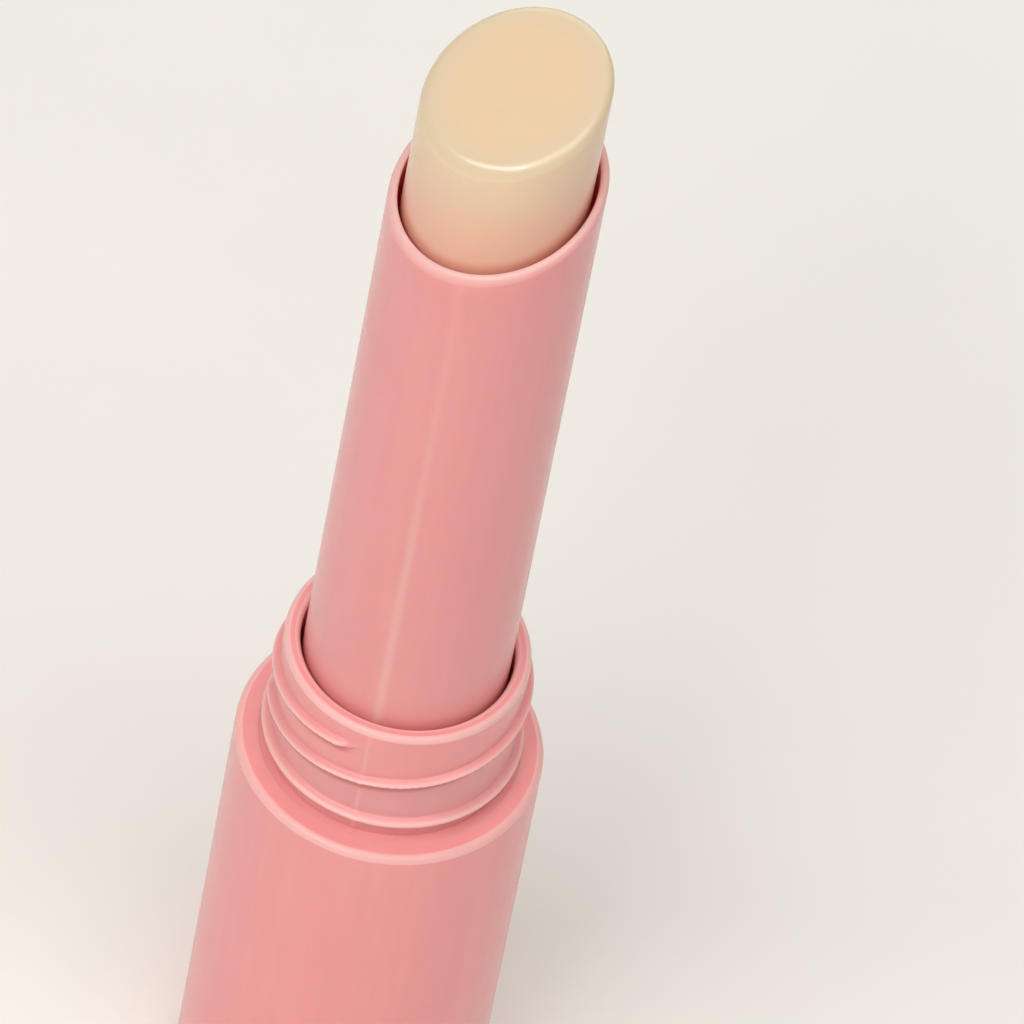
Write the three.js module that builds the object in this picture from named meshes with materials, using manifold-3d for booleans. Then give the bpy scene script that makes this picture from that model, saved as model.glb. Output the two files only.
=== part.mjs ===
// A slim twist-up lip balm stick, standing open with its balm raised.
//
// The base and the neck are held in one hand and the tube is turned. The tube carries a guide with a
// two-sided hole, which turns the flat-sided screw rod. The rod runs in a nut fixed in the base, so a
// turn lifts or lowers the rod, the cup on its end and the balm in the cup.
//
// Millimetres, +Z up. The origin is the middle of the base's foot, on the axis of the stick.
// The low side of the slanted mouth and of the balm's slanted face looks along -Y.
import * as THREE from 'three';
import { mergeVertices } from 'three/addons/utils/BufferGeometryUtils.js';
import Module from 'manifold-3d';

const wasm = await Module();
wasm.setup();

// Driving dimensions of the balm and its tube
const BALM_DIAMETER = 9.9;
const BALM_EDGE_ROUND = 0.45;
const BALM_SHOWN = 7.9; // from the mouth to the balm's face, along the axis
const BALM_SUNK_WHEN_DOWN = 1.1; // how far under the mouth the face lies when the balm is wound down
const BALM_GAP = 0.25; // balm to tube, at the side
const MOUTH_SLANT = 20; // degrees
const FACE_SLANT = 22.5; // degrees
const TUBE_WALL = 0.5;
const TUBE_ABOVE_NECK = 39.1; // on the axis
const TUBE_LIP_ROUND_WIDTH = 0.4; // the lip falls away outwards
const TUBE_LIP_ROUND_DEPTH = 0.5;

// Driving dimensions of the base and the neck
const BASE_HEIGHT = 30;
const BASE_WALL = 1.2;
const BASE_FLOOR = 1.6;
const SHOULDER_WIDTH = 1.75; // the step from the neck out to the side of the base
const SHOULDER_ROUND = 0.45;
const FOOT_ROUND = 0.5;
const FOOT_RING_WIDTH = 2.6;
const FOOT_RECESS = 0.4;
const NECK_HEIGHT = 8.4;
const NECK_WALL = 0.9;
const NECK_LIP_ROUND = 0.35;
const NECK_BEAD_PROUD = 0.45; // a round bead low on the neck, under the cap's thread
const NECK_BEAD_HALF_HEIGHT = 0.6;
const NECK_BEAD_ABOVE_SHOULDER = 1.25;
const NECK_SKIRT_WALL = 0.6;
const NECK_BORE_LENGTH = 4.2; // the stretch of the neck that steadies the tube
const WEIGHT_HEIGHT = 9;

// Driving dimensions of the mechanism
const SCREW_LEAD = 6; // rise in one turn
const SCREW_STARTS = 2;
const SCREW_CORE_DIAMETER = 3.5;
const SCREW_RIDGE_HEIGHT = 0.55;
const SCREW_RIDGE_SHARE = 0.28; // of the pitch, at the crest
const SCREW_FLANK_SHARE = 0.11; // of the pitch, on each side of the crest
const SCREW_FLAT_TO_FLAT = 3;
const STOP_HEIGHT = 0.9;
const STOP_OVERHANG = 0.6; // of the stop at the rod's foot, past the ridges
const NUT_HEIGHT = 4.3;
const NUT_LUG_WIDTH = 2.6; // of the two lugs that snap into windows in the neck's skirt
const NUT_LUG_HEIGHT = 1.2;
const NUT_LUG_ABOVE_FOOT = 0.4; // low enough for the base to hide the windows
const NUT_LUG_PROUD = 0.4;
const GUIDE_FLANGE_HEIGHT = 1.1;
const GUIDE_PLUG_HEIGHT = 2.5;
const GUIDE_KEY_WIDTH = 1.6; // of the two keys that turn the tube by notches in its foot
const GUIDE_KEY_HEIGHT = 1;
const CUP_HEIGHT = 6.5;
const CUP_WALL = 0.5;
const CUP_FLOOR = 0.9;
const CUP_FINS = 4; // upright fins that grip the balm
const CUP_FIN_DEPTH = 0.8;
const CUP_FIN_THICKNESS = 0.5;
const CUP_FIN_HEIGHT = 4.2;
const SOCKET_DEPTH = 2.6; // of the cup's hub, which takes the rod's pin
const SOCKET_WALL = 0.8;

// Clearances
const TURNING_GAP = 0.2; // between pieces that turn or slide on each other
const FIT_GAP = 0.1; // between pieces that are pressed together
const END_GAP = 0.3; // where a moving piece stops short of another

// Fineness of the round shapes
const SEGMENTS = 48;
const ARC_STEPS = 2;
const RING_SECTION_SIDES = 10;
const SCREW_STEPS_PER_TURN = 16;
const CREST_STEPS = 2;

// Radii, worked out from the balm outwards
const balmRadius = BALM_DIAMETER / 2;
const tubeBore = balmRadius + BALM_GAP;
const tubeRadius = tubeBore + TUBE_WALL;
const neckBore = tubeRadius + TURNING_GAP;
const neckRadius = neckBore + NECK_WALL;
const baseRadius = neckRadius + SHOULDER_WIDTH;
const baseBore = baseRadius - BASE_WALL;
const skirtRadius = baseBore - FIT_GAP;
const skirtBore = skirtRadius - NECK_SKIRT_WALL;
const frictionRingSection = skirtBore - tubeRadius - 2 * FIT_GAP;
const screwRadius = SCREW_CORE_DIAMETER / 2 + SCREW_RIDGE_HEIGHT;
const stopRadius = screwRadius + STOP_OVERHANG;
const pinRadius = SCREW_FLAT_TO_FLAT / 2;
const hubRadius = pinRadius + FIT_GAP + SOCKET_WALL;

// Heights of what stays with the base
const neckTop = BASE_HEIGHT + NECK_HEIGHT;
const ledge = neckTop - NECK_BORE_LENGTH;
const flangeTop = ledge - frictionRingSection - 2 * FIT_GAP;
const flangeBottom = flangeTop - GUIDE_FLANGE_HEIGHT;
const nutTop = flangeBottom - TURNING_GAP;
const nutBottom = nutTop - NUT_HEIGHT;
const mouth = neckTop + TUBE_ABOVE_NECK;

// The stick of rod, cup and balm, in its own heights from the rod's foot, and how far it is raised
const stickDown = BASE_FLOOR + END_GAP;
const stickRaised = BALM_SHOWN + BALM_SUNK_WHEN_DOWN;
const stickFoot = stickDown + stickRaised;
const cupFoot = flangeTop + GUIDE_PLUG_HEIGHT + END_GAP - stickDown;
const balmFace = mouth - BALM_SUNK_WHEN_DOWN - stickDown;

const PINK_PLASTIC = { color: 0xf0a09b, roughness: 0.32, metalness: 0 };
const WAX = { color: 0xf0d2a8, roughness: 0.45, metalness: 0 };
const WHITE_PLASTIC = { color: 0xf2efe9, roughness: 0.5, metalness: 0 };
const RUBBER = { color: 0x2b2a2a, roughness: 0.8, metalness: 0 };
const STEEL = { color: 0xb9bbbd, roughness: 0.35, metalness: 1 };

// A closed outline of radius and height, drawn anticlockwise, turned about the Z axis.
function revolve(outline, segments = SEGMENTS) {
  const turned = new THREE.LatheGeometry(outline.getPoints(ARC_STEPS), segments);
  return turned.rotateX(Math.PI / 2);
}

function outlineFrom(radius, height) {
  return new THREE.Path().moveTo(radius, height);
}

// A straight bush between two heights.
function bush(inner, outer, bottom, top) {
  return revolve(
    outlineFrom(inner, bottom).lineTo(outer, bottom).lineTo(outer, top).lineTo(inner, top).closePath(),
  );
}

function disc(radius, bottom, top) {
  return revolve(
    outlineFrom(0, bottom).lineTo(radius, bottom).lineTo(radius, top).lineTo(0, top),
  );
}

// Tilts whatever lies above a height, so that a level top slopes up towards +Y and sides stay straight.
function slantAbove(geometry, height, degrees) {
  const slope = Math.tan(THREE.MathUtils.degToRad(degrees));
  const position = geometry.getAttribute('position');
  for (let i = 0; i < position.count; i++) {
    if (position.getZ(i) > height) position.setZ(i, position.getZ(i) + slope * position.getY(i));
  }
  geometry.computeVertexNormals();
  return geometry;
}

function solidFrom(geometry) {
  const bare = geometry.clone();
  bare.deleteAttribute('normal');
  bare.deleteAttribute('uv');
  const merged = mergeVertices(bare);
  return new wasm.Manifold(
    new wasm.Mesh({
      numProp: 3,
      vertProperties: merged.getAttribute('position').array,
      triVerts: new Uint32Array(merged.index.array),
    }),
  );
}

function geometryFrom(solid) {
  const { vertProperties, triVerts } = solid.getMesh();
  const geometry = new THREE.BufferGeometry();
  geometry.setAttribute('position', new THREE.BufferAttribute(vertProperties, 3));
  geometry.setIndex(new THREE.BufferAttribute(triVerts, 1));
  geometry.computeVertexNormals();
  return geometry;
}

// The screw's cross-section: a core with one ridge for each start, all of it let out by a clearance.
function screwSection(clearance) {
  const core = SCREW_CORE_DIAMETER / 2 + clearance;
  const crest = screwRadius + clearance;
  const pitchAngle = (2 * Math.PI) / SCREW_STARTS;
  const crestHalf = (SCREW_RIDGE_SHARE / 2 + clearance / (SCREW_LEAD / SCREW_STARTS)) * pitchAngle;
  const rootHalf = crestHalf + SCREW_FLANK_SHARE * pitchAngle;
  const points = [];
  const arc = (radius, from, to, steps) => {
    for (let i = 0; i <= steps; i++) {
      const angle = from + ((to - from) * i) / steps;
      points.push(new THREE.Vector2(radius * Math.cos(angle), radius * Math.sin(angle)));
    }
  };
  for (let start = 0; start < SCREW_STARTS; start++) {
    const middle = start * pitchAngle;
    arc(crest, middle - crestHalf, middle + crestHalf, CREST_STEPS);
    arc(core, middle + rootHalf, middle + pitchAngle - rootHalf, 2 * CREST_STEPS);
  }
  return points;
}

// A left-hand screw between two heights. Its twist is counted from height 0, so two screws of the same
// lead that are counted from the same height are in mesh.
function screw(clearance, bottom, top) {
  const section = screwSection(clearance);
  const count = section.length;
  const steps = Math.ceil(((top - bottom) / SCREW_LEAD) * SCREW_STEPS_PER_TURN);
  const vertices = [];
  const faces = [];
  for (let step = 0; step <= steps; step++) {
    const height = bottom + ((top - bottom) * step) / steps;
    const twist = (-2 * Math.PI * height) / SCREW_LEAD;
    for (const point of section) {
      const turned = point.clone().rotateAround(new THREE.Vector2(), twist);
      vertices.push(turned.x, turned.y, height);
    }
    if (step === steps) continue;
    for (let i = 0; i < count; i++) {
      const here = step * count + i;
      const next = step * count + ((i + 1) % count);
      faces.push(here, next, next + count, here, next + count, here + count);
    }
  }
  for (const [a, b, c] of THREE.ShapeUtils.triangulateShape(section, [])) {
    faces.push(c, b, a, a + steps * count, b + steps * count, c + steps * count);
  }
  const geometry = new THREE.BufferGeometry();
  geometry.setAttribute('position', new THREE.Float32BufferAttribute(vertices, 3));
  geometry.setIndex(faces);
  return geometry;
}

// A bar across the axis, between two heights.
function bar(width, length, bottom, top) {
  return new THREE.BoxGeometry(width, length, top - bottom).translate(0, 0, (bottom + top) / 2);
}

// The flat sides, facing along X, that the rod's thread is cut down to.
function flatSides(clearance, bottom, top) {
  return bar(SCREW_FLAT_TO_FLAT + 2 * clearance, 2 * (stopRadius + clearance), bottom, top);
}

// The two lugs on the nut, or the two windows that they snap into, as one bar through the nut.
function nutLugs(clearance, reach) {
  const bottom = nutBottom + NUT_LUG_ABOVE_FOOT - clearance;
  const top = bottom + NUT_LUG_HEIGHT + 2 * clearance;
  return bar(NUT_LUG_WIDTH + 2 * clearance, 2 * reach, bottom, top);
}

// The two keys on the guide, or the two notches that take them, as one bar through the guide.
function guideKeys(clearance, reach) {
  const top = flangeTop + GUIDE_KEY_HEIGHT + clearance;
  return bar(GUIDE_KEY_WIDTH + 2 * clearance, 2 * reach, flangeTop - GUIDE_FLANGE_HEIGHT / 2, top);
}

// The fins inside the cup, or the grooves that they leave in the balm.
function cupFins(clearance) {
  const outer = balmRadius - CUP_WALL / 2;
  const inner = balmRadius - CUP_WALL - CUP_FIN_DEPTH - clearance;
  const bottom = cupFoot + CUP_FLOOR / 2;
  const top = cupFoot + CUP_FLOOR + CUP_FIN_HEIGHT + clearance;
  const fins = [];
  for (let i = 0; i < CUP_FINS; i++) {
    const fin = new THREE.BoxGeometry(outer - inner, CUP_FIN_THICKNESS + 2 * clearance, top - bottom);
    fin.translate((outer + inner) / 2, 0, (bottom + top) / 2);
    fins.push(solidFrom(fin.rotateZ((2 * Math.PI * i) / CUP_FINS)));
  }
  return fins;
}

function baseShell() {
  const footInner = baseRadius - FOOT_RING_WIDTH;
  const outline = outlineFrom(0, FOOT_RECESS)
    .lineTo(footInner - FOOT_RECESS, FOOT_RECESS)
    .lineTo(footInner, 0)
    .lineTo(baseRadius - FOOT_ROUND, 0)
    .absarc(baseRadius - FOOT_ROUND, FOOT_ROUND, FOOT_ROUND, -Math.PI / 2, 0)
    .lineTo(baseRadius, BASE_HEIGHT - SHOULDER_ROUND)
    .absarc(baseRadius - SHOULDER_ROUND, BASE_HEIGHT - SHOULDER_ROUND, SHOULDER_ROUND, 0, Math.PI / 2)
    .lineTo(baseBore, BASE_HEIGHT)
    .lineTo(baseBore, BASE_FLOOR)
    .lineTo(0, BASE_FLOOR);
  return revolve(outline);
}

function baseWeight() {
  const bore = stopRadius + END_GAP;
  return bush(bore, baseBore - FIT_GAP, BASE_FLOOR + FIT_GAP, BASE_FLOOR + FIT_GAP + WEIGHT_HEIGHT);
}

// The neck stands out of the base, and its skirt reaches down inside the base to hold the nut.
function neck() {
  const lipOuter = neckRadius - NECK_LIP_ROUND;
  const lipInner = neckBore + NECK_LIP_ROUND;
  const lipHeight = neckTop - NECK_LIP_ROUND;
  const skirtTop = BASE_HEIGHT - FIT_GAP;
  const beadHeight = BASE_HEIGHT + NECK_BEAD_ABOVE_SHOULDER;
  const outline = outlineFrom(skirtBore, nutBottom)
    .lineTo(skirtRadius, nutBottom)
    .lineTo(skirtRadius, skirtTop)
    .lineTo(neckRadius, skirtTop)
    .lineTo(neckRadius, beadHeight - NECK_BEAD_HALF_HEIGHT)
    .absellipse(neckRadius, beadHeight, NECK_BEAD_PROUD, NECK_BEAD_HALF_HEIGHT, -Math.PI / 2, Math.PI / 2)
    .lineTo(neckRadius, lipHeight)
    .absarc(lipOuter, lipHeight, NECK_LIP_ROUND, 0, Math.PI / 2)
    .absarc(lipInner, lipHeight, NECK_LIP_ROUND, Math.PI / 2, Math.PI)
    .lineTo(neckBore, ledge)
    .lineTo(skirtBore, ledge)
    .closePath();
  const windows = solidFrom(nutLugs(FIT_GAP, baseRadius));
  return geometryFrom(solidFrom(revolve(outline)).subtract(windows));
}

function driveNut() {
  const drum = solidFrom(disc(skirtBore - FIT_GAP, nutBottom, nutTop));
  const lugReach = solidFrom(disc(skirtBore + NUT_LUG_PROUD - FIT_GAP, nutBottom, nutTop));
  const body = drum.add(lugReach.intersect(solidFrom(nutLugs(0, baseRadius))));
  const threadFoot = nutBottom - END_GAP - stickFoot;
  const threadTop = nutTop + END_GAP - stickFoot;
  const thread = solidFrom(screw(TURNING_GAP, threadFoot, threadTop).translate(0, 0, stickFoot));
  return geometryFrom(body.subtract(thread));
}

// A rubber ring between the neck's ledge and the guide's flange, which makes the tube stiff to turn.
function frictionRing() {
  const section = frictionRingSection / 2;
  const middle = tubeRadius + FIT_GAP + section;
  const ring = new THREE.TorusGeometry(middle, section, RING_SECTION_SIDES, SEGMENTS);
  return ring.translate(0, 0, ledge - FIT_GAP - section);
}

function tube() {
  const bottom = flangeTop + FIT_GAP;
  const lipRadius = tubeRadius - TUBE_LIP_ROUND_WIDTH;
  const lipHeight = mouth - TUBE_LIP_ROUND_DEPTH;
  const outline = outlineFrom(tubeBore, bottom)
    .lineTo(tubeRadius, bottom)
    .lineTo(tubeRadius, lipHeight)
    .absellipse(lipRadius, lipHeight, TUBE_LIP_ROUND_WIDTH, TUBE_LIP_ROUND_DEPTH, 0, Math.PI / 2)
    .lineTo(tubeBore, mouth)
    .lineTo(tubeBore, bottom);
  const slanted = solidFrom(slantAbove(revolve(outline), neckTop, MOUTH_SLANT));
  return geometryFrom(slanted.subtract(solidFrom(guideKeys(FIT_GAP, baseRadius))));
}

// The plug in the tube's foot. Its flange keeps the tube in the neck and its two-sided hole turns the rod.
function keyGuide() {
  const plugRadius = tubeBore - FIT_GAP;
  const plugTop = flangeTop + GUIDE_PLUG_HEIGHT;
  const flangedPlug = solidFrom(
    revolve(
      outlineFrom(0, flangeBottom)
        .lineTo(skirtBore - TURNING_GAP, flangeBottom)
        .lineTo(skirtBore - TURNING_GAP, flangeTop)
        .lineTo(plugRadius, flangeTop)
        .lineTo(plugRadius, plugTop)
        .lineTo(0, plugTop),
    ),
  );
  const keyReach = solidFrom(disc(tubeRadius, flangeBottom, plugTop));
  const body = flangedPlug.add(keyReach.intersect(solidFrom(guideKeys(0, baseRadius))));
  const from = flangeBottom - END_GAP;
  const to = plugTop + END_GAP;
  const round = solidFrom(disc(screwRadius + TURNING_GAP, from, to));
  const flats = solidFrom(flatSides(TURNING_GAP, from, to));
  return geometryFrom(body.subtract(round.intersect(flats)));
}

function screwRod() {
  const thread = solidFrom(screw(0, 0, cupFoot));
  const shank = thread.intersect(solidFrom(flatSides(0, 0, cupFoot)));
  const stop = solidFrom(disc(stopRadius, 0, STOP_HEIGHT));
  const pin = solidFrom(disc(pinRadius, cupFoot - END_GAP, cupFoot + SOCKET_DEPTH - FIT_GAP));
  return geometryFrom(shank.add(stop).add(pin));
}

function carrierCup() {
  const inside = cupFoot + CUP_FLOOR;
  const top = cupFoot + CUP_HEIGHT;
  const socket = pinRadius + FIT_GAP;
  const socketTop = cupFoot + SOCKET_DEPTH;
  const outline = outlineFrom(0, socketTop)
    .lineTo(socket, socketTop)
    .lineTo(socket, cupFoot + FIT_GAP)
    .lineTo(balmRadius, cupFoot + FIT_GAP)
    .lineTo(balmRadius, top)
    .lineTo(balmRadius - CUP_WALL, top)
    .lineTo(balmRadius - CUP_WALL, inside)
    .lineTo(hubRadius, inside)
    .lineTo(hubRadius, socketTop + SOCKET_WALL)
    .lineTo(0, socketTop + SOCKET_WALL);
  const cup = cupFins(0).reduce((whole, fin) => whole.add(fin), solidFrom(revolve(outline)));
  return geometryFrom(cup);
}

// The balm fills the cup round its hub and stands out of it as a round bar with a slanted face.
function balm() {
  const hubTop = cupFoot + SOCKET_DEPTH + SOCKET_WALL + FIT_GAP;
  const inside = cupFoot + CUP_FLOOR + FIT_GAP;
  const cupTop = cupFoot + CUP_HEIGHT + FIT_GAP;
  const edgeHeight = balmFace - BALM_EDGE_ROUND;
  const outline = outlineFrom(0, hubTop)
    .lineTo(hubRadius + FIT_GAP, hubTop)
    .lineTo(hubRadius + FIT_GAP, inside)
    .lineTo(balmRadius - CUP_WALL - FIT_GAP, inside)
    .lineTo(balmRadius - CUP_WALL - FIT_GAP, cupTop)
    .lineTo(balmRadius, cupTop)
    .lineTo(balmRadius, edgeHeight)
    .absarc(balmRadius - BALM_EDGE_ROUND, edgeHeight, BALM_EDGE_ROUND, 0, Math.PI / 2)
    .lineTo(0, balmFace);
  const slanted = solidFrom(slantAbove(revolve(outline), (cupTop + edgeHeight) / 2, FACE_SLANT));
  return geometryFrom(cupFins(FIT_GAP).reduce((whole, groove) => whole.subtract(groove), slanted));
}

function piece(name, geometry, finish) {
  const mesh = new THREE.Mesh(geometry, new THREE.MeshStandardMaterial(finish));
  mesh.name = name;
  return mesh;
}

const held = new THREE.Group();
held.add(
  piece('base_shell', baseShell(), PINK_PLASTIC),
  piece('base_weight', baseWeight(), STEEL),
  piece('threaded_neck', neck(), PINK_PLASTIC),
  piece('drive_nut', driveNut(), WHITE_PLASTIC),
);

const turned = new THREE.Group();
turned.add(
  piece('tube', tube(), PINK_PLASTIC),
  piece('key_guide', keyGuide(), WHITE_PLASTIC),
  piece('friction_ring', frictionRing(), RUBBER),
);

const stick = new THREE.Group();
stick.position.z = stickFoot;
stick.add(
  piece('screw_rod', screwRod(), WHITE_PLASTIC),
  piece('carrier_cup', carrierCup(), WHITE_PLASTIC),
  piece('balm', balm(), WAX),
);
turned.add(stick);

const lipBalm = new THREE.Group();
lipBalm.add(held, turned);

export default lipBalm;
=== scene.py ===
"""A slim twist-up lip balm stick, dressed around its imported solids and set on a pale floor."""
from math import cos, degrees, dist, exp, hypot, pi, radians, sin, tan

import bmesh
import bpy
from mathutils import Matrix, Vector


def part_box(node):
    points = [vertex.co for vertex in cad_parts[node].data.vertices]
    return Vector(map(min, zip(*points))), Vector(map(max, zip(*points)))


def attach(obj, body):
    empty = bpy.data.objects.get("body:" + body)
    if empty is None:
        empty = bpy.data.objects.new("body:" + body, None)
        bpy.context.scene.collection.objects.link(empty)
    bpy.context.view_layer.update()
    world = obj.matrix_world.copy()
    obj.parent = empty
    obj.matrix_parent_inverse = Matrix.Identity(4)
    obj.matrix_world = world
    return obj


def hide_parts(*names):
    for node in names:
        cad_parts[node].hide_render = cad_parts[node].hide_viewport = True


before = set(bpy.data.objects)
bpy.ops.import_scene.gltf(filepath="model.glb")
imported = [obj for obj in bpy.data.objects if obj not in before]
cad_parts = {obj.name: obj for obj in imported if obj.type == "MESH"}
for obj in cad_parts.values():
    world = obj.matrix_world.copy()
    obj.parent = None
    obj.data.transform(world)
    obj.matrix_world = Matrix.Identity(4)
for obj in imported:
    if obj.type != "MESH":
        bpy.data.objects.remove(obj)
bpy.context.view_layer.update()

MM = 0.001

# Sizes that the solids' boxes do not give, in millimetres and degrees
MOUTH_SLANT = 20
FACE_SLANT = 22.5
TUBE_WALL = 0.5
TUBE_ABOVE_NECK = 39.1
TUBE_LIP_WIDTH = 0.35
TUBE_LIP_DEPTH = 0.5
TUBE_LIP_INNER_ROUND = 0.15
BALM_SHOWN = 7.9
BALM_EDGE_WORN = 0.75
BALM_FACE_CROWN = 0.1
CUP_WALL = 0.5
CUP_HUB_RADIUS = 2.6
CUP_FIN_DEPTH = 0.9
CUP_HEIGHT_IN_BALM = 5.6
NECK_WALL = 0.9
NECK_LIP_ROUND = 0.35
NECK_BORE_LENGTH = 4.2
NECK_SKIRT_WALL = 0.6
TURNING_GAP = 0.2
FIT_GAP = 0.1
SEAM = 0.008
BASE_WALL = 1.2
BASE_FLOOR = 1.6
BASE_RIM_DEPTH = 1
BASE_RIM_CHAMFER = 0.2
SHOULDER_ROUND = 0.45
FOOT_ROUND = 0.5
FOOT_RING_WIDTH = 2.6
FOOT_RECESS = 0.4

# The cap's thread on the neck: right-hand ridges, over a round bead
THREAD_STARTS = 2
THREAD_LEAD = 5
THREAD_HEIGHT = 0.4
THREAD_UPPER_FLANK = 0.3
THREAD_LOWER_FLANK = 0.18
THREAD_TOP_BELOW_LIP = 1.55
THREAD_TOP_ANGLE = 305
THREAD_SPAN = 260
THREAD_FADE = 12
BEAD_PROUD = 0.45
BEAD_ABOVE_SHOULDER = 1.25
BEAD_UPPER_FLANK = 0.36
BEAD_LOWER_FLANK = 0.2
RIDGE_HALF_CREST = 0.06

# The moulding lines down two opposite sides of the neck and the tube, with their widths in degrees
MOULD_LINE_ANGLE = 308
MOULD_LINE_HEIGHT = 0.03
NECK_LINE_WIDTH = 1.5
TUBE_LINE_WIDTH = 3.4

# Painted light: an edge this round takes half the pale painted highlight and a tighter one more, the
# moulding lines take a painted highlight streak, and the walls under the threads take painted shade
HALF_HIGHLIGHT_ROUND = 0.6
NECK_LINE_HIGHLIGHT = 0.35
TUBE_LINE_HIGHLIGHT = 0.5
TUBE_LINE_FADE = 60
THREAD_SHADE_REACH = 1.05
THREAD_SHADE_FADE = 0.5
PAINTED_LIGHT = "painted_light"

# Where the wax's colour changes: a painted pink bounce light over the tube's mouth, the face's own
# colour under its face, and painted shade towards the face's rim
PAINTED_BOUNCE_HEIGHT = 7.5
PAINTED_BOUNCE_STRENGTH = 0.75
FACE_COLOUR_STARTS_UNDER = 0.8
FACE_COLOUR_FULL_UNDER = 0.1
RIM_SHADE_STARTS_RADIUS = 2.8
RIM_SHADE_FULL_RADIUS = 4.9

# How finely the shapes are divided: round the axis, along arcs and down straight walls
SEGMENTS = 192
FINE_SEGMENTS = 480
ARC_STEPS = 8
BALM_EDGE_STEPS = 16
BALM_CROWN_STEPS = 12
TUBE_LIP_STEPS = 14
TUBE_LIP_INNER_STEPS = 6
SHOULDER_STEPS = 10
BALM_ROWS = 6
TUBE_ROWS = 8
BASE_ROWS = 6
THREAD_ROW = 0.05

# How far from its ends a wall is divided, how near two points count as one, and which turns are sharp
ROW_MARGIN = 1
TUBE_LIP_ROW_MARGIN = 1.5
BASE_ROW_MARGIN = 2
SAME_PLACE = 1e-5
CREASE = 40
NECK_CREASE = 80

# The range that most of a noise lies in
NOISE_RANGE = (0.25, 0.75)

# The camera: where it stands and how the photograph is framed, in degrees, millimetres and pixels
VIEW_AZIMUTH = 46.5
VIEW_ELEVATION = 50.5
VIEW_ROLL = 11.5
VIEW_DISTANCE = 900
VIEW_FAR_END = 10000
VIEW_CENTRE_HEIGHT = 51.1
VIEW_CENTRE_SIDE = 4.1
VIEW_PIXELS_PER_MM = 18.56
IMAGE_SIZE = 1024
SENSOR = 36

# The floor and the light from all around
FLOOR_REACH = 2000
WORLD_COLOUR = (1, 0.985, 0.96, 1)
WORLD_STRENGTH = 0.28


def size_of(node):
    """A round node's largest radius and its lowest and highest points, in millimetres."""
    low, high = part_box(node)
    return high.x / MM, low.z / MM, high.z / MM


def mouth_height():
    """The height of the tube's slanted mouth, on the axis."""
    return size_of("threaded_neck")[2] + TUBE_ABOVE_NECK


def skirt_radius():
    """The radius of the neck's foot, which is pressed into the base."""
    return size_of("base_shell")[0] - BASE_WALL - FIT_GAP


def metres(*lengths):
    """Lengths in millimetres, as metres."""
    return tuple(length * MM for length in lengths)


def smooth(share):
    """A share from 0 to 1 that leaves and reaches its ends gently."""
    share = min(max(share, 0), 1)
    return share * share * (3 - 2 * share)


def arc(centre, radius, start, end, steps=ARC_STEPS, stretch=(1, 1)):
    """Points of an arc of radius and height, by its start and end in degrees."""
    angles = [radians(start + (end - start) * i / steps) for i in range(steps + 1)]
    wide, tall = radius * stretch[0], radius * stretch[1]
    return [(centre[0] + wide * cos(a), centre[1] + tall * sin(a)) for a in angles]


def run(start, end, steps):
    """Points along a straight stretch, with both its ends."""
    return [tuple(a + (b - a) * i / steps for a, b in zip(start, end)) for i in range(steps + 1)]


def without_repeats(points):
    kept = []
    for point in points:
        if not kept or dist(point, kept[-1]) > SAME_PLACE:
            kept.append(point)
    return kept


def painted_highlight_share(before, point, after):
    """How much painted highlight a point of an outline takes: most where the outline turns tightly
    outwards.
    """
    first = (point[0] - before[0], point[1] - before[1])
    second = (after[0] - point[0], after[1] - point[1])
    lengths = hypot(*first), hypot(*second)
    turn = (first[0] * second[1] - first[1] * second[0]) / (lengths[0] * lengths[1])
    return smooth(turn / sum(lengths) * HALF_HIGHLIGHT_ROUND)


def add_object(name, data):
    added = bpy.data.objects.new(name, data)
    bpy.context.scene.collection.objects.link(added)
    return added


def add_mesh(name, mesh):
    data = bpy.data.meshes.new(name)
    mesh.to_mesh(data)
    mesh.free()
    return add_object(name, data)


def revolved(name, outline, shape=None, crease=CREASE, segments=SEGMENTS):
    """A closed mesh from an anticlockwise outline of radius and height, in millimetres.

    An outline that starts and ends on the axis closes there, and any other closes on itself.
    shape(radius, angle, height) gives a point's final radius and height, and its painted light:
    how much painted highlight it takes, or less than nothing where it takes painted shade under a
    thread.
    """
    outline = without_repeats(outline)
    on_axis = outline[0][0] == 0
    if not on_axis and dist(outline[0], outline[-1]) < SAME_PLACE:
        outline = outline[:-1]
    mesh = bmesh.new()
    painted_light = mesh.verts.layers.float.new(PAINTED_LIGHT)
    rings = []
    befores = outline[-1:] + outline[:-1]
    afters = outline[1:] + outline[:1]
    for before, (radius, height), after in zip(befores, outline, afters):
        edge = painted_highlight_share(before, (radius, height), after)
        ring = []
        for i in range(segments if radius > 0 else 1):
            angle = 2 * pi * i / segments
            r, z, painted_share = shape(radius, angle, height) if shape else (radius, height, 0)
            vertex = mesh.verts.new(metres(r * cos(angle), r * sin(angle), z))
            vertex[painted_light] = painted_share if abs(painted_share) > edge else edge
            ring.append(vertex)
        rings.append(ring)
    pairs = list(zip(rings, rings[1:]))
    if not on_axis:
        pairs.append((rings[-1], rings[0]))
    for below, above in pairs:
        for i in range(segments):
            corners = [below[i % len(below)], below[(i + 1) % len(below)],
                       above[(i + 1) % len(above)], above[i % len(above)]]
            mesh.faces.new(list(dict.fromkeys(corners)))
    piece = add_mesh(name, mesh)
    for polygon in piece.data.polygons:
        polygon.use_smooth = True
    piece.data.set_sharp_from_angle(angle=radians(crease))
    return piece


def dress(piece, body, node, material):
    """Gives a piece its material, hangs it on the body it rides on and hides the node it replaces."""
    piece.data.materials.append(material)
    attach(piece, body)
    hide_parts(node)


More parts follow.
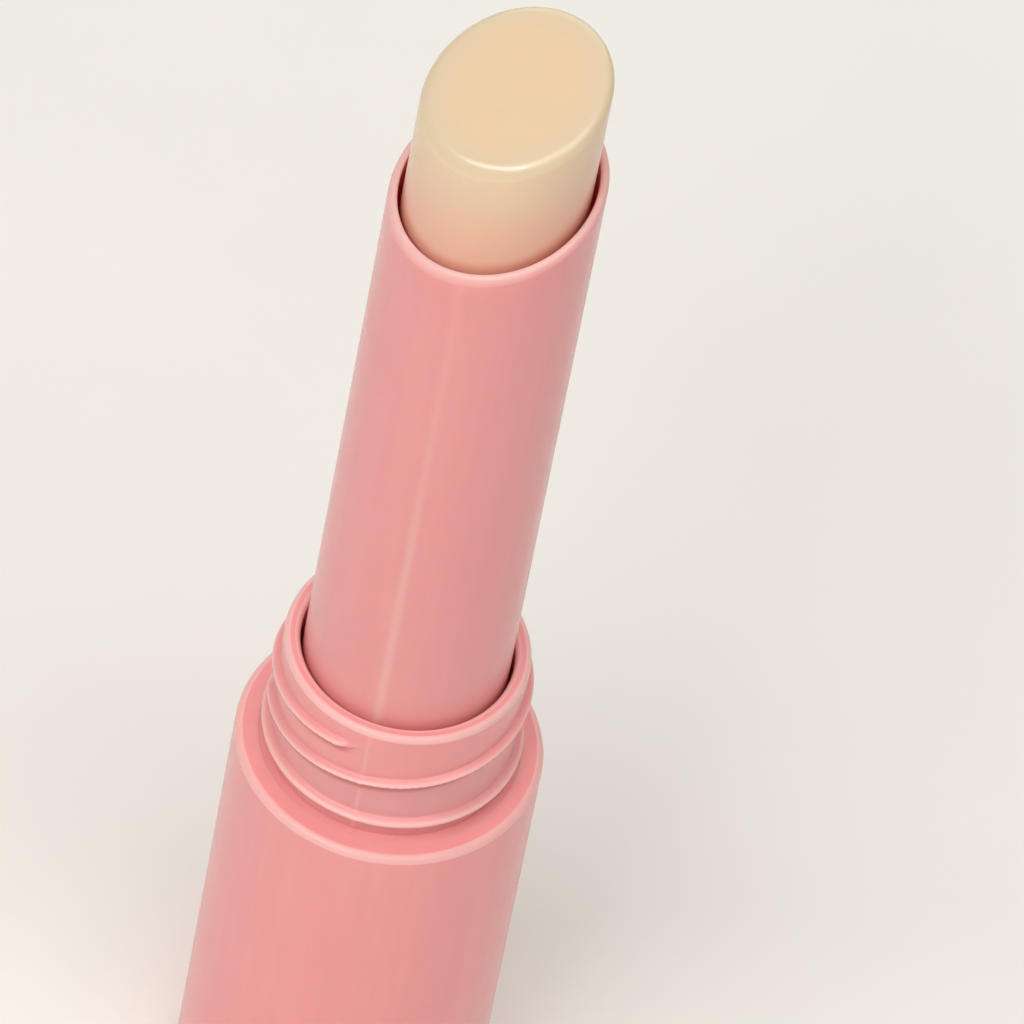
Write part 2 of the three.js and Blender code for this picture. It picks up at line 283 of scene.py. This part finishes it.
class Nodes:
    """A material's node tree, built up by short calls."""

    def __init__(self, name):
        self.material = bpy.data.materials.new(name)
        self.material.use_nodes = True
        self.tree = self.material.node_tree
        self.shader = self.tree.nodes["Principled BSDF"]
        self.place = self.tree.nodes.new("ShaderNodeTexCoord").outputs["Object"]

    def add(self, kind, **settings):
        node = self.tree.nodes.new(kind)
        for key, value in settings.items():
            setattr(node, key, value)
        return node

    def link(self, source, target):
        self.tree.links.new(source, target)

    def set(self, **sockets):
        for name, value in sockets.items():
            self.shader.inputs[name.replace("_", " ")].default_value = value

    def wire(self, name, socket):
        self.link(socket, self.shader.inputs[name])

    def noise(self, per_metre, detail, stretch=(1, 1, 1)):
        """A noise value, with stretch as how much longer its spots are along each axis."""
        mapping = self.add("ShaderNodeMapping")
        mapping.inputs["Scale"].default_value = [1 / s for s in stretch]
        self.link(self.place, mapping.inputs["Vector"])
        noise = self.add("ShaderNodeTexNoise")
        noise.inputs["Scale"].default_value = per_metre
        noise.inputs["Detail"].default_value = detail
        self.link(mapping.outputs["Vector"], noise.inputs["Vector"])
        return noise.outputs["Fac"]

    def spread(self, value, low, high, source=NOISE_RANGE):
        """A value between source's ends, spread from low to high."""
        ranged = self.add("ShaderNodeMapRange", interpolation_type="SMOOTHSTEP")
        for name, number in zip(("From Min", "From Max", "To Min", "To Max"), (*source, low, high)):
            ranged.inputs[name].default_value = number
        self.link(value, ranged.inputs["Value"])
        return ranged.outputs["Result"]

    def mix(self, factor, first, second):
        """A colour between two, each a colour or a socket."""
        mix = self.add("ShaderNodeMix", data_type="RGBA")
        self.link(factor, mix.inputs["Factor"])
        for name, value in (("A", first), ("B", second)):
            socket = next(s for s in mix.inputs if s.name == name and s.type == "RGBA")
            if isinstance(value, tuple):
                socket.default_value = (*value, 1)
            else:
                self.link(value, socket)
        return next(s for s in mix.outputs if s.type == "RGBA")

    def mottle(self, noise, first, second):
        """A colour that wanders between two with a noise."""
        return self.mix(self.spread(noise, 0, 1), first, second)

    def bump(self, height, distance, strength, under=None):
        """A bump of a height in metres, on top of another where there is one."""
        bump = self.add("ShaderNodeBump")
        bump.inputs["Strength"].default_value = strength
        bump.inputs["Distance"].default_value = distance
        self.link(height, bump.inputs["Height"])
        if under is not None:
            self.link(under, bump.inputs["Normal"])
        return bump.outputs["Normal"]

    def place_in(self, piece):
        """Where a point lies in another piece's own frame."""
        return self.add("ShaderNodeTexCoord", object=piece).outputs["Object"]

    def over_slant(self, slant, place):
        """The height at which a slanted plane through a point, rising towards +Y, meets the axis."""
        height = self.add("ShaderNodeVectorMath", operation="DOT_PRODUCT")
        height.inputs[1].default_value = (0, -tan(radians(slant)), 1)
        self.link(place, height.inputs[0])
        return height.outputs["Value"]

    def off_axis(self):
        """How far a point lies from the axis."""
        flat = self.add("ShaderNodeVectorMath", operation="MULTIPLY")
        flat.inputs[1].default_value = (1, 1, 0)
        self.link(self.place, flat.inputs[0])
        length = self.add("ShaderNodeVectorMath", operation="LENGTH")
        self.link(flat.outputs["Vector"], length.inputs[0])
        return length.outputs["Value"]


def linear(red, green, blue):
    """A colour written in the usual 0 to 255 steps, as linear light."""
    steps = [c / 255 for c in (red, green, blue)]
    return tuple(c / 12.92 if c <= 0.04045 else ((c + 0.055) / 1.055) ** 2.4 for c in steps)


def pink_plastic(name, glow):
    """Salmon-pink moulded plastic: faint flow streaks, a fine skin, a pale painted highlight on
    rounded edges, crests and moulding lines, and painted shade under the threads.

    The glow is the share of the light that goes into the plastic, which shows where a wall is thin.
    """
    nodes = Nodes(name)
    nodes.set(Subsurface_Weight=glow, Subsurface_Scale=0.9 * MM, Specular_IOR_Level=0.3)
    nodes.set(Subsurface_Radius=(1.0, 0.4, 0.38))
    streaks = nodes.noise(per_metre=900, detail=4, stretch=(1, 1, 16))
    clouds = nodes.noise(per_metre=160, detail=2)
    streaked = nodes.mottle(streaks, linear(244, 160, 160), linear(246, 164, 163))
    clouded = nodes.mix(nodes.spread(clouds, 0, 0.35), streaked, linear(241, 155, 155))
    painted_light = nodes.add("ShaderNodeAttribute", attribute_name=PAINTED_LIGHT).outputs["Fac"]
    # Painted shade under the threads, then a pale painted highlight on edges, crests and moulding
    # lines
    thread_shaded = nodes.mix(nodes.spread(painted_light, 0, 1, source=(0, -1)), clouded, linear(222, 132, 130))
    highlighted = nodes.mix(nodes.spread(painted_light, 0, 1, source=(0, 1)), thread_shaded, linear(248, 193, 187))
    nodes.wire("Base Color", highlighted)
    nodes.wire("Roughness", nodes.spread(nodes.noise(per_metre=600, detail=2), 0.2, 0.26))
    skin = nodes.bump(nodes.noise(per_metre=2200, detail=2), 0.003 * MM, strength=0.2)
    nodes.wire("Normal", nodes.bump(streaks, 0.006 * MM, strength=0.2, under=skin))
    return nodes.material


def balm_wax(tube):
    """Cream-yellow wax: cloudy, a little see-through, softly shiny, with a painted pink bounce light
    by the tube's mouth and painted shade towards the face's rim.
    """
    nodes = Nodes("balm_wax")
    nodes.set(Subsurface_Weight=0.55, Subsurface_Scale=1.4 * MM, Specular_IOR_Level=0.6)
    nodes.set(Subsurface_Radius=(1.0, 0.62, 0.35))
    clouds = nodes.noise(per_metre=220, detail=2)
    grain = nodes.noise(per_metre=1800, detail=2)
    cream = nodes.mottle(clouds, linear(233, 206, 176), linear(235, 209, 174))
    grained = nodes.mix(nodes.spread(grain, 0, 0.25), cream, linear(230, 200, 169))

    # A painted pink bounce light from the tube, strongest at its mouth and gone a little above it
    mouth = mouth_height()
    over_mouth = nodes.over_slant(MOUTH_SLANT, nodes.place_in(tube))
    painted_bounce = nodes.spread(over_mouth, PAINTED_BOUNCE_STRENGTH, 0, metres(mouth, mouth + PAINTED_BOUNCE_HEIGHT))
    with_bounce = nodes.mix(painted_bounce, grained, linear(237, 166, 146))

    # Painted shade: the face greys and darkens towards its rim
    rim_shade_range = metres(RIM_SHADE_STARTS_RADIUS, RIM_SHADE_FULL_RADIUS)
    rim_shade = nodes.spread(nodes.off_axis(), 0, 1, rim_shade_range)
    face_with_rim_shade = nodes.mix(rim_shade, linear(234, 207, 171), linear(225, 206, 175))
    face = mouth + BALM_SHOWN
    face_range = metres(face - FACE_COLOUR_STARTS_UNDER, face - FACE_COLOUR_FULL_UNDER)
    at_face = nodes.spread(nodes.over_slant(FACE_SLANT, nodes.place), 0, 1, face_range)
    nodes.wire("Base Color", nodes.mix(at_face, with_bounce, face_with_rim_shade))

    nodes.wire("Roughness", nodes.spread(nodes.noise(per_metre=260, detail=1), 0.2, 0.25))
    dents = nodes.bump(nodes.noise(per_metre=240, detail=0), 0.06 * MM, strength=0.3)
    nodes.wire("Normal", nodes.bump(grain, 0.003 * MM, strength=0.15, under=dents))
    return nodes.material


def white_plastic():
    """Off-white moulded plastic of the inner works."""
    nodes = Nodes("white_plastic")
    nodes.set(Subsurface_Weight=0.1, Subsurface_Scale=0.8 * MM)
    grain = nodes.noise(per_metre=1200, detail=4)
    nodes.wire("Base Color", nodes.mottle(grain, linear(238, 235, 228), linear(246, 244, 239)))
    nodes.wire("Roughness", nodes.spread(nodes.noise(per_metre=700, detail=3), 0.42, 0.55))
    nodes.wire("Normal", nodes.bump(grain, 0.008 * MM, strength=0.5))
    return nodes.material


def black_rubber():
    nodes = Nodes("black_rubber")
    grain = nodes.noise(per_metre=3000, detail=5)
    nodes.wire("Base Color", nodes.mottle(grain, linear(30, 29, 29), linear(48, 46, 45)))
    nodes.wire("Roughness", nodes.spread(grain, 0.65, 0.85))
    nodes.wire("Normal", nodes.bump(grain, 0.01 * MM, strength=0.6))
    return nodes.material


def turned_steel():
    """Steel with the fine rings that a lathe leaves."""
    nodes = Nodes("turned_steel")
    nodes.set(Metallic=1.0)
    rings = nodes.noise(per_metre=2500, detail=3, stretch=(20, 20, 1))
    nodes.wire("Base Color", nodes.mottle(rings, linear(168, 170, 172), linear(196, 198, 200)))
    nodes.wire("Roughness", nodes.spread(rings, 0.25, 0.42))
    nodes.wire("Normal", nodes.bump(rings, 0.01 * MM, strength=0.6))
    return nodes.material


def tilted(radius, angle, height, level, slant):
    """A point's height once all that lies above a level is tilted, to rise towards +Y."""
    rise = tan(radians(slant)) * radius * sin(angle)
    return height + rise if height > level else height


def make_balm(material):
    radius, low, _ = size_of("balm")
    face = mouth_height() + BALM_SHOWN
    cup_top = low + CUP_HEIGHT_IN_BALM
    hub_top = low + CUP_HEIGHT_IN_BALM / 2
    spigot = radius - CUP_WALL - CUP_FIN_DEPTH
    edge = face - BALM_EDGE_WORN
    flat = radius - BALM_EDGE_WORN
    shares = [1 - i / BALM_CROWN_STEPS for i in range(BALM_CROWN_STEPS + 1)]
    outline = [(0, hub_top), (CUP_HUB_RADIUS, hub_top), (CUP_HUB_RADIUS, low), (spigot, low)]
    outline += [(spigot, cup_top), (radius, cup_top)]
    outline += run((radius, cup_top + ROW_MARGIN), (radius, edge), BALM_ROWS)
    outline += arc((flat, edge), BALM_EDGE_WORN, 0, 90, BALM_EDGE_STEPS)
    outline += [(flat * share, face + BALM_FACE_CROWN * (1 - share ** 2)) for share in shares]
    level = (cup_top + edge) / 2

    def shape(r, angle, height):
        return r, tilted(r, angle, height, level, FACE_SLANT), 0

    piece = revolved("balm_stick", outline, shape)
    dress(piece, "balm_body", "balm", material)


def make_tube(material):
    radius, low, _ = size_of("tube")
    bore = radius - TUBE_WALL
    mouth = mouth_height()
    neck_top = mouth - TUBE_ABOVE_NECK
    inner = TUBE_LIP_INNER_ROUND
    lip_centre = (radius - TUBE_LIP_WIDTH, mouth - TUBE_LIP_DEPTH)
    lip_size = (TUBE_LIP_WIDTH, TUBE_LIP_DEPTH)
    outline = [(bore, low), (radius, low)]
    outline += run((radius, low + ROW_MARGIN), (radius, mouth - TUBE_LIP_ROW_MARGIN), TUBE_ROWS)
    outline += arc(lip_centre, 1, 0, 90, TUBE_LIP_STEPS, lip_size)
    outline += arc((bore + inner, mouth - inner), inner, 90, 180, TUBE_LIP_INNER_STEPS)
    outline += run((bore, mouth - ROW_MARGIN), (bore, low), TUBE_ROWS)
    level = (low + mouth) / 2

    def shape(r, angle, height):
        line = mould_line(angle, TUBE_LINE_WIDTH) if r > radius - SAME_PLACE else 0
        # The moulding line takes a pale painted highlight streak, which fades out up the tube
        fade = 1 - smooth((height - neck_top) / TUBE_LINE_FADE)
        final_height = tilted(r, angle, height, level, MOUTH_SLANT)
        return r + MOULD_LINE_HEIGHT * line, final_height, TUBE_LINE_HIGHLIGHT * fade * line

    piece = revolved("slant_tube", outline, shape, segments=FINE_SEGMENTS)
    dress(piece, "tube_body", "tube", material)
    return piece


def mould_line(angle, width):
    """A moulding line's share of its full height, with a line on two opposite sides."""
    off_line = (degrees(angle) - MOULD_LINE_ANGLE + 90) % 180 - 90
    return exp(-(off_line / width) ** 2)


def ridge(over, upper_flank, lower_flank):
    """A ridge's share of its full height, at a height over its crest, or under it if less than 0."""
    flank = upper_flank if over > 0 else lower_flank
    return 1 - smooth((abs(over) - RIDGE_HALF_CREST) / flank)


def neck_relief(angle, height, top, bead):
    """How far the threads and the bead stand out, and how much painted shade a point takes under a
    thread.
    """
    proud = BEAD_PROUD * ridge(height - bead, BEAD_UPPER_FLANK, BEAD_LOWER_FLANK)
    thread_shade = 0
    for start in range(THREAD_STARTS):
        back = (THREAD_TOP_ANGLE + 360 * start / THREAD_STARTS - degrees(angle)) % 360
        over = height - (top - THREAD_LEAD * back / 360)
        ends = smooth(back / THREAD_FADE) * smooth((THREAD_SPAN - back) / THREAD_FADE)
        thread = THREAD_HEIGHT * ends * ridge(over, THREAD_UPPER_FLANK, THREAD_LOWER_FLANK)
        proud = max(proud, thread)
        # The wall just under a thread takes painted shade
        if over < 0:
            thread_shade = max(thread_shade, ends * smooth((THREAD_SHADE_REACH + over) / THREAD_SHADE_FADE))
    return proud, thread_shade


def make_neck(material):
    _, low, high = size_of("threaded_neck")
    shoulder = size_of("base_shell")[2]
    skirt = skirt_radius()
    skirt_bore = skirt - NECK_SKIRT_WALL
    skirt_top = shoulder - SEAM
    bore = size_of("tube")[0] + TURNING_GAP
    radius = bore + NECK_WALL
    ledge = high - NECK_BORE_LENGTH
    lip = NECK_LIP_ROUND
    rows = int((high - lip - skirt_top) / THREAD_ROW)
    outline = [(skirt_bore, low), (skirt, low), (skirt, skirt_top)]
    outline += run((radius, skirt_top), (radius, high - lip), rows)
    outline += arc((radius - lip, high - lip), lip, 0, 90)
    outline += arc((bore + lip, high - lip), lip, 90, 180)
    outline += [(bore, ledge), (skirt_bore, ledge), (skirt_bore, low)]
    thread_top = high - THREAD_TOP_BELOW_LIP
    bead = shoulder + BEAD_ABOVE_SHOULDER

    def shape(r, angle, height):
        if abs(r - radius) > SAME_PLACE or height < skirt_top + THREAD_ROW / 2:
            return r, height, 0
        proud, thread_shade = neck_relief(angle, height, thread_top, bead)
        line = mould_line(angle, NECK_LINE_WIDTH)
        # Thread crests and the moulding line take a pale painted highlight, and where the painted
        # shade under a thread is greater, the point takes that instead
        highlighted = max((proud / THREAD_HEIGHT) ** 2, NECK_LINE_HIGHLIGHT * line)
        painted_light = highlighted if highlighted > thread_shade else -thread_shade
        return r + proud + MOULD_LINE_HEIGHT * line, height, painted_light

    piece = revolved("screw_neck", outline, shape, NECK_CREASE, FINE_SEGMENTS)
    dress(piece, "base_body", "threaded_neck", material)


def make_base(material):
    radius, low, high = size_of("base_shell")
    bore = radius - BASE_WALL
    floor = low + BASE_FLOOR
    recess = low + FOOT_RECESS
    foot = radius - FOOT_RING_WIDTH
    rim_bore = skirt_radius() + SEAM
    rim_low = high - BASE_RIM_DEPTH
    shoulder_centre = (radius - SHOULDER_ROUND, high - SHOULDER_ROUND)
    outline = [(0, recess), (foot - FOOT_RECESS, recess), (foot, low)]
    outline += arc((radius - FOOT_ROUND, low + FOOT_ROUND), FOOT_ROUND, -90, 0)
    outline += run((radius, low + BASE_ROW_MARGIN), (radius, high - BASE_ROW_MARGIN), BASE_ROWS)
    outline += arc(shoulder_centre, SHOULDER_ROUND, 0, 90, SHOULDER_STEPS)
    outline += [(rim_bore, high), (rim_bore, rim_low), (bore, rim_low - BASE_RIM_CHAMFER)]
    outline += [(bore, floor), (0, floor)]
    piece = revolved("base_barrel", outline)
    dress(piece, "base_body", "base_shell", material)


def paint(node, material):
    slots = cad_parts[node].data.materials
    slots.clear()
    slots.append(material)


def make_floor():
    nodes = Nodes("pale_floor")
    mottle = nodes.noise(per_metre=30, detail=3)
    nodes.wire("Base Color", nodes.mottle(mottle, linear(243, 240, 232), linear(246, 243, 236)))
    nodes.set(Roughness=0.6)
    mesh = bmesh.new()
    bmesh.ops.create_grid(mesh, x_segments=1, y_segments=1, size=FLOOR_REACH * MM)
    floor = add_mesh("floor", mesh)
    floor.data.materials.append(nodes.material)


def direction(azimuth, elevation):
    """The way out from the axis to an azimuth, counted from -Y, and an elevation, in degrees."""
    a, e = radians(azimuth), radians(elevation)
    return Vector((sin(a) * cos(e), -cos(a) * cos(e), sin(e)))


def soft_lamp(name, azimuth, elevation, distance, size, power):
    """A rectangular soft lamp that looks at the middle of the stick, in metres and watts."""
    light = bpy.data.lights.new(name, "AREA")
    light.shape = "RECTANGLE"
    light.size, light.size_y = size
    light.energy = power
    lamp = add_object(name, light)
    towards = direction(azimuth, elevation)
    lamp.location = Vector((0, 0, VIEW_CENTRE_HEIGHT * MM)) + towards * distance
    lamp.rotation_euler = towards.to_track_quat("Z", "Y").to_euler()


def make_lights():
    """A key lamp left of the camera, a wide fill above the camera, a lamp behind and an even world."""
    a = VIEW_AZIMUTH
    soft_lamp("key", azimuth=a - 42, elevation=49, distance=0.7, size=(0.5, 0.16), power=1.8)
    soft_lamp("fill", azimuth=a + 14, elevation=60, distance=0.8, size=(0.8, 0.5), power=3.2)
    soft_lamp("back", azimuth=a + 180, elevation=32, distance=0.8, size=(0.9, 0.6), power=2.2)
    world = bpy.data.worlds.new("studio")
    world.use_nodes = True
    background = world.node_tree.nodes["Background"]
    background.inputs["Color"].default_value = WORLD_COLOUR
    background.inputs["Strength"].default_value = WORLD_STRENGTH
    bpy.context.scene.world = world


def make_camera():
    a, r = radians(VIEW_AZIMUTH), radians(VIEW_ROLL)
    back = direction(VIEW_AZIMUTH, VIEW_ELEVATION)
    right = Vector((cos(a), sin(a), 0))
    up = back.cross(right)
    x = right * cos(r) + up * sin(r)
    y = up * cos(r) - right * sin(r)
    target = (right * VIEW_CENTRE_SIDE + Vector((0, 0, VIEW_CENTRE_HEIGHT))) * MM
    data = bpy.data.cameras.new("camera")
    data.sensor_width = SENSOR
    data.lens = VIEW_PIXELS_PER_MM * VIEW_DISTANCE / IMAGE_SIZE * SENSOR
    data.clip_end = VIEW_FAR_END * MM
    camera = add_object("camera", data)
    turn = Matrix((x, y, back)).transposed().to_4x4()
    camera.matrix_world = Matrix.Translation(target + back * VIEW_DISTANCE * MM) @ turn
    bpy.context.scene.camera = camera


thick_plastic = pink_plastic("thick_plastic", glow=0.25)
make_base(thick_plastic)
make_neck(thick_plastic)
slant_tube = make_tube(pink_plastic("thin_plastic", glow=0.7))
make_balm(balm_wax(slant_tube))
works = white_plastic()
for node in ("drive_nut", "key_guide", "screw_rod", "carrier_cup"):
    paint(node, works)
paint("friction_ring", black_rubber())
paint("base_weight", turned_steel())
make_floor()
make_lights()
make_camera()
bpy.context.scene.view_settings.view_transform = "Standard"
